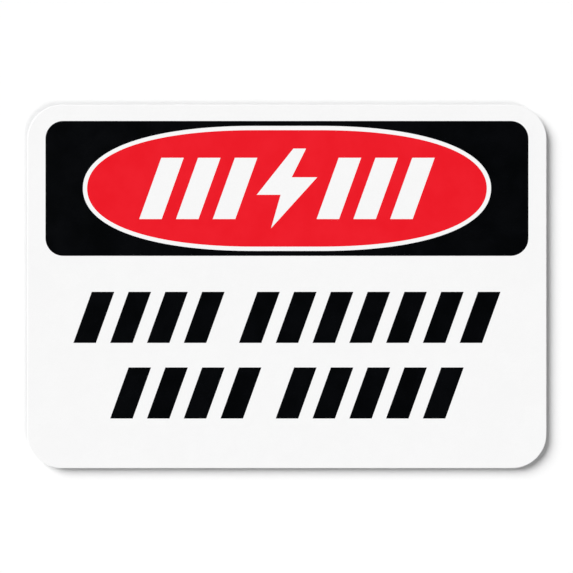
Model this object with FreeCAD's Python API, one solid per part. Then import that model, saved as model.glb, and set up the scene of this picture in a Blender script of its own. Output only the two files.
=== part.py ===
# High voltage warning sign: one flat aluminium sheet, blanked to a rounded rectangle.
# Millimetres, +Z up. The printed face looks along -Y and the flat back lies in the plane y = 0.
# The origin is the middle of the back, where the sheet is held against a wall, door or fence.

import FreeCAD, Part
import math
import os

from FreeCAD import Vector

# Driving dimensions
panel_width = 254.0          # along X, ten inches
panel_height = 177.8         # along Z, seven inches
panel_thickness = 1.0        # along Y, 0.040 inch sign sheet
corner_radius = 16.8         # of the sheet's outline
front_edge_radius = 0.22     # rolled over by the blanking punch, all round the printed face
back_edge_break = 0.10       # deburring chamfer, all round the back

# Directions
outward = Vector(0, -1, 0)   # from the back, through the sheet, to the reader
EXACT = 1e-6                 # millimetres within which two places count as the same


def corner_arc(centre_x, centre_z, start_angle):
    """One quarter circle of the outline, anticlockwise from start_angle, as the reader sees it."""
    points = []
    for turn in (0.0, 45.0, 90.0):
        angle = math.radians(start_angle + turn)
        along_x = corner_radius * math.cos(angle)
        along_z = corner_radius * math.sin(angle)
        points.append(Vector(centre_x + along_x, 0, centre_z + along_z))
    return Part.Arc(*points).toShape()


def panel_outline():
    """The sheet's outline in the plane of the back: four straight sides and four tangent arcs."""
    centre_x = panel_width / 2 - corner_radius
    centre_z = panel_height / 2 - corner_radius
    arcs = [
        corner_arc(centre_x, centre_z, 0),
        corner_arc(-centre_x, centre_z, 90),
        corner_arc(-centre_x, -centre_z, 180),
        corner_arc(centre_x, -centre_z, 270),
    ]
    edges = []
    for arc, following in zip(arcs, arcs[1:] + arcs[:1]):
        side_start = arc.valueAt(arc.LastParameter)
        side_end = following.valueAt(following.FirstParameter)
        edges.append(arc)
        edges.append(Part.LineSegment(side_start, side_end).toShape())
    return Part.Wire(edges)


def edges_in_plane(solid, y):
    """The edges of the solid that lie wholly in one plane across its thickness."""
    chosen = []
    for edge in solid.Edges:
        box = edge.BoundBox
        if abs(box.YMin - y) < EXACT and abs(box.YMax - y) < EXACT:
            chosen.append(edge)
    return chosen


def sign_panel():
    """The blanked sheet, with its front edge rolled over and its back edge deburred."""
    sheet = Part.Face(panel_outline()).extrude(outward * panel_thickness)
    rolled = sheet.makeFillet(front_edge_radius, edges_in_plane(sheet, -panel_thickness))
    return rolled.makeChamfer(back_edge_break, edges_in_plane(rolled, 0.0))


os.makedirs("parts", exist_ok=True)
sign_panel().exportStep("parts/sign_panel.step")
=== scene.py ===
import math

import bpy
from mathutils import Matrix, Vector
from mathutils.geometry import delaunay_2d_cdt

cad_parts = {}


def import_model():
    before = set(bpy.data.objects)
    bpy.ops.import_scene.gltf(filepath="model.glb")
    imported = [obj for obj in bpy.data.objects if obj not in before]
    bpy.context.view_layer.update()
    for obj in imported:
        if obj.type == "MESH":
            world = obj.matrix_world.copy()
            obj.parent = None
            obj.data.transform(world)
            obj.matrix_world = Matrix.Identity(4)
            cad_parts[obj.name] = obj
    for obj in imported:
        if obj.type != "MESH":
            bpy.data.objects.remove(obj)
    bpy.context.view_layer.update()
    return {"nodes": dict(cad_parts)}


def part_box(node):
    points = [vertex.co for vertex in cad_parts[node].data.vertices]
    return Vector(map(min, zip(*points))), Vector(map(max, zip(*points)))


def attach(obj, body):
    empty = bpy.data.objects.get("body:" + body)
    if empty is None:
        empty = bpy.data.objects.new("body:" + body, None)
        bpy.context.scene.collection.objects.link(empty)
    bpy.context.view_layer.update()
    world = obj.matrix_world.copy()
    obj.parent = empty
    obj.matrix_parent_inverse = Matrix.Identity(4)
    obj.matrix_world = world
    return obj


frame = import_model()

MM = 0.001

# The sheet. Its box comes from the frame, and its printed face looks along -Y.
low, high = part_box("sign_panel")
FACE_Y = low.y
BACK_Y = high.y
HALF_WIDTH = (high.x - low.x) / 2
HALF_HEIGHT = (high.z - low.z) / 2
CORNER_RADIUS = 16.8 * MM
CORNER_STEPS = 26                 # in each quarter circle, the header's too
FRONT_EDGE_RADIUS = 0.22 * MM

# Layers of the print, one on the other
COAT = 0.05 * MM
INK = 0.02 * MM
COAT_Y = FACE_Y - COAT
COAT_WRAP = math.radians(50)      # how far the white coat follows the rolled front edge
COAT_WRAP_STEPS = 6
COAT_SMOOTH_BELOW = math.radians(40)
FLAT_RIM = 0.6 * MM               # a flat border that keeps the rolled edge's shading off the face

# Header. All print is laid out from the middle of the sheet, X to the right and Z up.
HEADER_SIZE = (236.3 * MM, 66.0 * MM)
HEADER_Z = 48.0 * MM
HEADER_RADIUS = 8.7 * MM
OVAL_HALF_SIZE = (97.8 * MM, 28.5 * MM)
RING_WIDTH = 2.1 * MM
OVAL_STRAIGHT = 16.0 * MM         # half of the straight stretch at its top and bottom
OVAL_END_PULL = 0.64              # how far its end keeps upright, as a share of the half height
OVAL_SIDE_PULL = 0.60             # how far its side keeps level, as a share of the curved length
OVAL_STEPS = 40

# Rows of slanted bars. A row's groups say how many bars stand together.
BAR_WIDTH = 11.0 * MM
BAR_PITCH = 18.0 * MM
BAR_SLOPE = 0.36                  # sideways for each unit of height
ROW_HEIGHT = 25.0 * MM
ROW_GAP = 9.0 * MM                # extra space between two groups
UPPER_ROW_Z = -15.1 * MM
UPPER_ROW_GROUPS = (4, 7)
LOWER_ROW_Z = -52.1 * MM
LOWER_ROW_GROUPS = (4, 5)
OVAL_ROW_HEIGHT = 30.0 * MM
OVAL_ROW_GAP = 32.8 * MM          # extra space that the flash stands in
OVAL_ROW_GROUPS = (3, 3)

# A flash. Its points are for a height of 1.
FLASH_HEIGHT = 39.0 * MM
FLASH = [
    (0.08, 0.50), (-0.38, -0.08), (-0.08, -0.08), (-0.20, -0.50),
    (0.38, 0.14), (0.06, 0.14), (0.24, 0.50),
]

# Colours, as 8-bit screen levels
ROLLED_DARK = (196, 198, 200)
ROLLED_LIGHT = (219, 220, 221)
BURNISHED_CUT = (160, 162, 164)
TORN_CUT = (132, 134, 136)
ENAMEL_DARK = (245, 245, 245)
ENAMEL_LIGHT = (247, 247, 247)
BLACK_THIN = (5, 6, 8)
BLACK_FULL = (2, 3, 4)
RED_THIN = (236, 31, 43)
RED_FULL = (233, 26, 38)

# Noise cells for each metre, along X, Y and Z
ROLL_LINES = (5, 1, 700)
ROLL_BANDS = (1.6, 1, 70)
ROLL_HAZE = (9, 9, 14)
BURNISH = (4200, 120, 4200)

# Finishes
THIN_INK_ROUGHNESS = 0.21
FULL_INK_ROUGHNESS = 0.17
BAND_STRENGTH = 0.6               # of the wide rolling bands, beside the fine lines
TORN_START = 0.62 * FACE_Y        # the cut edge is burnished in front of this, torn behind it
TORN_WAVER = 0.15 * MM            # how much further back the torn part may start

# Studio
WALL_GAP = 2.8 * MM
WALL_HALF_WIDTH = 0.70
WALL_TOP = 0.50
WALL_WHITE = 0.97
FLOOR_Z = -0.60
FLOOR_SIZE = 16.0
FLOOR_FRONT = 1.2                 # it ends short of the reader, so that the ink doesn't mirror it
FLOOR_WHITE = 0.85
FLOOR_GLOW = 0.45                 # its own light where it is looked at
FLOOR_BOUNCE = 0.18               # the share of light that it throws back at the sign
AMBIENT = 0.01                    # what the room adds to a white surface
ROOM_DARK = 0.04                  # the room in reflections, straight behind the reader
ROOM_DARK_TO = -0.96              # the Y of a direction up to which it stays that dark
ROOM_WHITE_FROM = -0.45           # the Y of a direction from which it is white
CAMERA_LENS = 100.0
CAMERA_SENSOR = 36.0
CAMERA_NEAR = 0.05
CAMERA_SIDESTEP = -0.22 * MM
PICTURE_WIDTH = 280.4 * MM        # what the picture spans at the sign's face


def srgb(levels):
    """Linear colour of 8-bit screen levels."""
    def linear(level):
        share = level / 255
        return share / 12.92 if share <= 0.04045 else ((share + 0.055) / 1.055) ** 2.4
    return (*(linear(level) for level in levels), 1.0)


# Outlines, as lists of (x, z) points, anticlockwise as the reader sees them

def rounded_rectangle(half_width, half_height, radius, centre_z=0.0):
    points = []
    for quarter, (side, end) in enumerate(((1, 1), (-1, 1), (-1, -1), (1, -1))):
        for step in range(CORNER_STEPS + 1):
            angle = math.radians(90) * (quarter + step / CORNER_STEPS)
            x = side * (half_width - radius) + radius * math.cos(angle)
            z = end * (half_height - radius) + radius * math.sin(angle)
            points.append((x, z + centre_z))
    return points


def oval(grow=0.0):
    """The header's oval: ends like an ellipse's, joined by short straight stretches."""
    half_width = OVAL_HALF_SIZE[0] + grow
    half_height = OVAL_HALF_SIZE[1] + grow
    side_handle = OVAL_STRAIGHT + OVAL_SIDE_PULL * (half_width - OVAL_STRAIGHT)
    handles = [
        Vector((half_width, 0)),
        Vector((half_width, OVAL_END_PULL * half_height)),
        Vector((side_handle, half_height)),
        Vector((OVAL_STRAIGHT, half_height)),
    ]
    right_top = []
    for step in range(OVAL_STEPS + 1):
        t = step / OVAL_STEPS
        weights = ((1 - t) ** 3, 3 * t * (1 - t) ** 2, 3 * t * t * (1 - t), t ** 3)
        point = sum((handle * weight for handle, weight in zip(handles, weights)), Vector((0, 0)))
        right_top.append((point.x, point.y))
    left_top = [(-x, z) for x, z in reversed(right_top)]
    left_bottom = [(-x, -z) for x, z in right_top[1:]]
    right_bottom = [(x, -z) for x, z in reversed(right_top[1:])]
    return [(x, z + HEADER_Z) for x, z in right_top + left_top + left_bottom + right_bottom]


def bar(start_x, middle_z, height):
    lean = BAR_SLOPE * height
    top = middle_z + height / 2
    bottom = middle_z - height / 2
    right_x = start_x + BAR_WIDTH
    return [(start_x, bottom), (right_x, bottom), (right_x + lean, top), (start_x + lean, top)]


def bar_row(middle_z, height, groups, gap):
    """A centred row of slanted bars in two groups."""
    count = sum(groups)
    length = (count - 1) * BAR_PITCH + BAR_WIDTH + BAR_SLOPE * height + gap
    outlines = []
    for index in range(count):
        start_x = -length / 2 + index * BAR_PITCH
        if index >= groups[0]:
            start_x += gap
        outlines.append(bar(start_x, middle_z, height))
    return outlines


def flash():
    return [(x * FLASH_HEIGHT, z * FLASH_HEIGHT + HEADER_Z) for x, z in FLASH]


# Meshes

def add_mesh(name, vertices, faces, smooth_below=None):
    mesh = bpy.data.meshes.new(name)
    mesh.from_pydata(vertices, [], faces)
    mesh.validate()
    if smooth_below is not None:
        mesh.polygons.foreach_set("use_smooth", [True] * len(mesh.polygons))
        mesh.set_sharp_from_angle(angle=smooth_below)
    made = bpy.data.objects.new(name, mesh)
    bpy.context.scene.collection.objects.link(made)
    return made


def fill_outlines(outlines, holes):
    """Flat points, and the triangles on them that lie in an outline and in no hole."""
    points = []
    rings = []
    for loop in outlines + holes:
        rings.append(list(range(len(points), len(points) + len(loop))))
        points.extend(Vector(point) for point in loop)
    only_inside = 1               # the kind of result that has no triangle outside the loops
    merge_within = 1e-9
    with_owners = True
    filled = delaunay_2d_cdt(points, [], rings, only_inside, merge_within, with_owners)
    flat_points, triangles, owners = filled[0], filled[2], filled[5]
    kept = [
        triangle for triangle, owner in zip(triangles, owners)
        if owner and all(index < len(outlines) for index in owner)
    ]
    return flat_points, kept


def print_layer(name, outlines, holes=()):
    """Flat ink in the given outlines, less the holes, as closed plates on the coat."""
    flat_points, triangles = fill_outlines(list(outlines), list(holes))
    count = len(flat_points)
    vertices = [(p.x, y, p.y) for y in (COAT_Y, COAT_Y - INK) for p in flat_points]
    faces = []
    rim = {}                      # keeps the edges with a triangle on one side only, in order
    for triangle in triangles:
        faces.append([index + count for index in triangle])
        faces.append(list(reversed(triangle)))
        for start, end in zip(triangle, triangle[1:] + triangle[:1]):
            if (end, start) in rim:
                del rim[(end, start)]
            else:
                rim[(start, end)] = True
    for start, end in rim:
        faces.append([start, end, end + count, start + count])
    return add_mesh(name, vertices, faces)


def coat_profile():
    """The coat's section as (inset, y) points: outer side from the face out, then inner side back."""
    centre_y = FACE_Y + FRONT_EDGE_RADIUS
    outer_radius = FRONT_EDGE_RADIUS + COAT
    angles = [COAT_WRAP * step / COAT_WRAP_STEPS for step in range(COAT_WRAP_STEPS + 1)]
    profile = [(FRONT_EDGE_RADIUS + FLAT_RIM, COAT_Y)]
    for angle in angles:
        inset = FRONT_EDGE_RADIUS - outer_radius * math.sin(angle)
        profile.append((inset, centre_y - outer_radius * math.cos(angle)))
    for angle in reversed(angles):
        inset = FRONT_EDGE_RADIUS * (1 - math.sin(angle))
        profile.append((inset, centre_y - FRONT_EDGE_RADIUS * math.cos(angle)))
    return profile


def face_coat():
    """The white coat: flat over the face, then part of the way round the rolled edge."""
    profile = coat_profile()
    vertices = []
    for inset, y in profile:
        loop = rounded_rectangle(HALF_WIDTH - inset, HALF_HEIGHT - inset, CORNER_RADIUS - inset)
        vertices.extend((x, y, z) for x, z in loop)
    count = len(vertices) // len(profile)
    front = list(range(count))
    back = list(reversed(range(len(vertices) - count, len(vertices))))
    faces = [front, back]
    for ring in range(len(profile) - 1):
        start = ring * count
        for index in range(count):
            here = start + index
            following = start + (index + 1) % count
            faces.append([following, here, here + count, following + count])
    return add_mesh("face_coat", vertices, faces, COAT_SMOOTH_BELOW)


# Materials

class Graph:
    """A node tree under construction."""

    def __init__(self, tree):
        self.tree = tree
        tree.nodes.clear()

    def node(self, kind, sockets=None, **settings):
        made = self.tree.nodes.new(kind)
        for name, value in settings.items():
            setattr(made, name, value)
        for name, value in (sockets or {}).items():
            if isinstance(value, bpy.types.NodeSocket):
                self.tree.links.new(value, made.inputs[name])
            else:
                made.inputs[name].default_value = value
        return made

    def math(self, operation, *values):
        return self.node("ShaderNodeMath", dict(enumerate(values)), operation=operation).outputs[0]

    def stretch(self, value, source, result):
        """The value with the source range eased onto the result range."""
        made = self.node("ShaderNodeMapRange", {
            "Value": value, "From Min": source[0], "From Max": source[1],
            "To Min": result[0], "To Max": result[1],
        }, interpolation_type="SMOOTHSTEP")
        return made.outputs[0]

    def blend(self, factor, first, second):
        """Two colours blended. The node takes them at its inputs 6 and 7, and output 2 is the blend."""
        made = self.node("ShaderNodeMix", {"Factor": factor, 6: first, 7: second}, data_type="RGBA")
        return made.outputs[2]

    def mix(self, factor, first, second):
        """The first shader where the factor is 0, the second where it is 1."""
        return self.node("ShaderNodeMixShader", {0: factor, 1: first, 2: second}).outputs[0]

    def place(self, scale=(1, 1, 1)):
        """Position in the sign's frame, in metres, times scale."""
        coordinates = self.node("ShaderNodeTexCoord").outputs["Object"]
        return self.node("ShaderNodeMapping", {"Vector": coordinates, "Scale": scale}).outputs[0]

    def along(self, vector, axis):
        return self.node("ShaderNodeSeparateXYZ", {"Vector": vector}).outputs[axis]

    def noise(self, place, scale, detail, roughness):
        made = self.node("ShaderNodeTexNoise", {
            "Vector": place, "Scale": scale, "Detail": detail, "Roughness": roughness,
        })
        return made.outputs[0]

    def bump(self, height, distance, strength):
        sockets = {"Height": height, "Distance": distance, "Strength": strength}
        return self.node("ShaderNodeBump", sockets).outputs[0]

    def matt(self, level):
        """A matt grey that reflects level of the light."""
        return self.node("ShaderNodeBsdfDiffuse", {"Color": (level, level, level, 1)}).outputs[0]

    def surface(self, shader):
        self.node("ShaderNodeOutputMaterial", {"Surface": shader})


def new_graph(name):
    material = bpy.data.materials.new(name)
    material.use_nodes = True
    return material, Graph(material.node_tree)


def rolled_flat(graph):
    """Colour, roughness and relief of the flats, rolled along X."""
    lines = graph.noise(graph.place(ROLL_LINES), scale=1.0, detail=6.0, roughness=0.62)
    bands = graph.noise(graph.place(ROLL_BANDS), scale=1.0, detail=3.0, roughness=0.5)
    haze = graph.noise(graph.place(ROLL_HAZE), scale=1.0, detail=3.0, roughness=0.5)
    rolled = graph.math("MULTIPLY_ADD", bands, BAND_STRENGTH, lines)
    rolled_range = (0.55, 1.05)
    tone = graph.stretch(rolled, rolled_range, result=(0.0, 1.0))
    colour = graph.blend(tone, srgb(ROLLED_DARK), srgb(ROLLED_LIGHT))
    roughness = graph.math("ADD", graph.stretch(rolled, rolled_range, result=(0.24, 0.42)),
                           graph.stretch(haze, source=(0.35, 0.65), result=(-0.02, 0.03)))
    return colour, roughness, lines


def sheared_cut(graph):
    """Colour, roughness and relief of the cut edge: burnished in front, torn behind."""
    grain = graph.noise(graph.place(), scale=9000.0, detail=3.0, roughness=0.6)
    burnished = graph.noise(graph.place(BURNISH), scale=1.0, detail=2.0, roughness=0.5)
    torn_from = graph.math("MULTIPLY_ADD", grain, TORN_WAVER, TORN_START)
    torn = graph.math("GREATER_THAN", graph.along(graph.place(), "Y"), torn_from)
    colour = graph.blend(torn, srgb(BURNISHED_CUT), srgb(TORN_CUT))
    roughness = graph.stretch(torn, source=(0.0, 1.0), result=(0.55, 0.75))
    relief = graph.math("ADD", graph.math("MULTIPLY", torn, grain), burnished)
    return colour, roughness, relief


def sheet_metal():
    """Mill-finish aluminium: rolled along X on the flats, sheared on the cut edge."""
    material, graph = new_graph("mill_aluminium")
    normal = graph.node("ShaderNodeNewGeometry").outputs["True Normal"]
    facing = graph.math("ABSOLUTE", graph.along(normal, "Y"))
    on_cut = graph.stretch(facing, source=(0.05, 0.35), result=(1.0, 0.0))
    on_flat = graph.math("SUBTRACT", 1.0, on_cut)

    def joined(of_flat, of_cut):
        return graph.math("ADD", graph.math("MULTIPLY", on_cut, of_cut),
                          graph.math("MULTIPLY", on_flat, of_flat))

    flat_colour, flat_roughness, flat_relief = rolled_flat(graph)
    cut_colour, cut_roughness, cut_relief = sheared_cut(graph)
    relief = joined(flat_relief, cut_relief)
    shader = graph.node("ShaderNodeBsdfPrincipled", {
        "Base Color": graph.blend(on_cut, flat_colour, cut_colour),
        "Metallic": 1.0,
        "Roughness": joined(flat_roughness, cut_roughness),
        "Normal": graph.bump(relief, distance=0.01 * MM, strength=0.35),
    })
    graph.surface(shader.outputs[0])
    return material


def white_coat():
    """Smooth white enamel with a faint orange peel."""
    material, graph = new_graph("white_enamel")
    mottle = graph.noise(graph.place(), scale=45.0, detail=4.0, roughness=0.5)
    peel = graph.noise(graph.place(), scale=900.0, detail=2.0, roughness=0.4)
    fine = graph.noise(graph.place(), scale=7000.0, detail=2.0, roughness=0.5)
    noise_range = (0.3, 0.7)
    shader = graph.node("ShaderNodeBsdfPrincipled", {
        "Base Color": graph.blend(mottle, srgb(ENAMEL_DARK), srgb(ENAMEL_LIGHT)),
        "Roughness": graph.math("ADD", graph.stretch(mottle, noise_range, result=(0.25, 0.29)),
                                graph.stretch(fine, noise_range, result=(-0.02, 0.02))),
        "Normal": graph.bump(peel, distance=0.004 * MM, strength=0.5),
        "Specular IOR Level": 0.4,
    })
    graph.surface(shader.outputs[0])
    return material


def ink(name, thin, full):
    """Opaque screen ink: slightly uneven in density, with a fine dry grain."""
    material, graph = new_graph(name)
    density = graph.noise(graph.place(), scale=60.0, detail=5.0, roughness=0.6)
    grain = graph.noise(graph.place(), scale=5200.0, detail=3.0, roughness=0.6)
    noise_range = (0.3, 0.7)
    cover = graph.stretch(density, noise_range, result=(0.0, 1.0))
    even = graph.stretch(density, noise_range, result=(THIN_INK_ROUGHNESS, FULL_INK_ROUGHNESS))
    shader = graph.node("ShaderNodeBsdfPrincipled", {
        "Base Color": graph.blend(cover, srgb(thin), srgb(full)),
        "Roughness": graph.math("ADD", even, graph.stretch(grain, noise_range, result=(-0.03, 0.03))),
        "Normal": graph.bump(grain, distance=0.002 * MM, strength=0.5),
        "Specular IOR Level": 0.2,
    })
    graph.surface(shader.outputs[0])
    return material


# Stage and lights

def seen_directly(graph):
    """1 for rays that show the background, 0 for those that light things."""
    path = graph.node("ShaderNodeLightPath").outputs
    mirrored = graph.math("MAXIMUM", path["Is Glossy Ray"], path["Is Transmission Ray"])
    return graph.math("MAXIMUM", path["Is Camera Ray"], mirrored)


def stage_plane(name, corners, material):
    plane = add_mesh(name, corners, [[0, 1, 2, 3]])
    plane.data.materials.append(material)
    return plane


def backdrop():
    """A wall close behind the sign, met only by a camera in front of it and by scattered light."""
    material, graph = new_graph("backdrop_white")
    front = graph.math("SUBTRACT", 1.0, graph.node("ShaderNodeNewGeometry").outputs["Backfacing"])
    path = graph.node("ShaderNodeLightPath").outputs
    met = graph.math("MINIMUM", graph.math("ADD", path["Is Camera Ray"], path["Diffuse Depth"]), 1.0)
    shown = graph.math("MULTIPLY", front, met)
    clear = graph.node("ShaderNodeBsdfTransparent").outputs[0]
    graph.surface(graph.mix(shown, clear, graph.matt(WALL_WHITE)))
    y = BACK_Y + WALL_GAP
    x = WALL_HALF_WIDTH
    corners = [(-x, y, FLOOR_Z), (x, y, FLOOR_Z), (x, y, WALL_TOP), (-x, y, WALL_TOP)]
    stage_plane("backdrop", corners, material)


def floor():
    """A floor that looks pale, throws little light up at the sign and lets the low fill light through."""
    material, graph = new_graph("floor_white")
    bounce = graph.matt(FLOOR_BOUNCE)
    glow = graph.node("ShaderNodeEmission", {"Strength": FLOOR_GLOW}).outputs[0]
    pale = graph.node("ShaderNodeAddShader", {0: graph.matt(FLOOR_WHITE), 1: glow}).outputs[0]
    graph.surface(graph.mix(seen_directly(graph), bounce, pale))
    x = FLOOR_SIZE / 2
    near = -FLOOR_FRONT
    far = FLOOR_SIZE - FLOOR_FRONT
    corners = [(-x, near, FLOOR_Z), (x, near, FLOOR_Z), (x, far, FLOOR_Z), (-x, far, FLOOR_Z)]
    plane = stage_plane("floor", corners, material)
    plane.visible_shadow = False


def world():
    """White where it is seen, dim where it only lights, and darker behind the reader in reflections."""
    made = bpy.data.worlds.new("studio")
    made.use_nodes = True
    bpy.context.scene.world = made
    graph = Graph(made.node_tree)
    camera_ray = graph.node("ShaderNodeLightPath").outputs["Is Camera Ray"]
    toward = graph.along(graph.node("ShaderNodeTexCoord").outputs["Generated"], "Y")
    dark = graph.stretch(toward, source=(ROOM_DARK_TO, ROOM_WHITE_FROM), result=(ROOM_DARK, 1.0))
    reflected = graph.math("MAXIMUM", dark, camera_ray)
    seen = seen_directly(graph)
    ambient = graph.math("MULTIPLY", graph.math("SUBTRACT", 1.0, seen), AMBIENT)
    strength = graph.math("ADD", ambient, graph.math("MULTIPLY", seen, reflected))
    light = graph.node("ShaderNodeBackground", {"Color": (1, 1, 1, 1), "Strength": strength})
    graph.node("ShaderNodeOutputWorld", {"Surface": light.outputs[0]})


def soft_light(name, come_from, spread, share):
    """A wide, even light. It adds share to a white face that is square to Y, on its side of the sign."""
    light = bpy.data.lights.new(name, "SUN")
    light.angle = math.radians(spread)
    direction = Vector(come_from).normalized()
    light.energy = math.pi * share / abs(direction.y)
    lamp = bpy.data.objects.new(name, light)
    bpy.context.scene.collection.objects.link(lamp)
    lamp.rotation_euler = direction.to_track_quat("Z", "Y").to_euler()
    return lamp


def camera():
    """A camera straight in front of the face."""
    data = bpy.data.cameras.new("camera")
    data.lens = CAMERA_LENS
    data.sensor_width = CAMERA_SENSOR
    data.clip_start = CAMERA_NEAR
    made = bpy.data.objects.new("camera", data)
    bpy.context.scene.collection.objects.link(made)
    distance = PICTURE_WIDTH * CAMERA_LENS / CAMERA_SENSOR
    made.location = (CAMERA_SIDESTEP, COAT_Y - distance, 0.0)
    made.rotation_euler = (math.radians(90), 0, 0)
    bpy.context.scene.camera = made


def finish_piece(piece, material):
    piece.data.materials.append(material)
    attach(piece, "root")


panel = frame["nodes"]["sign_panel"]
panel.data.materials.clear()
panel.data.materials.append(sheet_metal())

black_ink = ink("black_ink", BLACK_THIN, BLACK_FULL)
red_ink = ink("red_ink", RED_THIN, RED_FULL)

finish_piece(face_coat(), white_coat())

header_outline = rounded_rectangle(HEADER_SIZE[0] / 2, HEADER_SIZE[1] / 2, HEADER_RADIUS, HEADER_Z)
finish_piece(print_layer("header_band", [header_outline], [oval(RING_WIDTH)]), black_ink)

oval_marks = bar_row(HEADER_Z, OVAL_ROW_HEIGHT, OVAL_ROW_GROUPS, OVAL_ROW_GAP) + [flash()]
finish_piece(print_layer("header_oval", [oval()], oval_marks), red_ink)

upper_bars = bar_row(UPPER_ROW_Z, ROW_HEIGHT, UPPER_ROW_GROUPS, ROW_GAP)
lower_bars = bar_row(LOWER_ROW_Z, ROW_HEIGHT, LOWER_ROW_GROUPS, ROW_GAP)
finish_piece(print_layer("upper_marks", upper_bars), black_ink)
finish_piece(print_layer("lower_marks", lower_bars), black_ink)

world()
backdrop()
floor()
soft_light("key_light", come_from=(-1.0, -1.0, 0.76), spread=42, share=0.79)
fill_light = soft_light("fill_light", come_from=(0.55, -1.0, -0.60), spread=24, share=0.21)
fill_light.visible_glossy = False       # no glare in the ink when it is seen from the left
soft_light("back_light", come_from=(0.75, 1.0, 0.14), spread=50, share=0.07)
camera()
bpy.context.scene.view_settings.view_transform = "Standard"
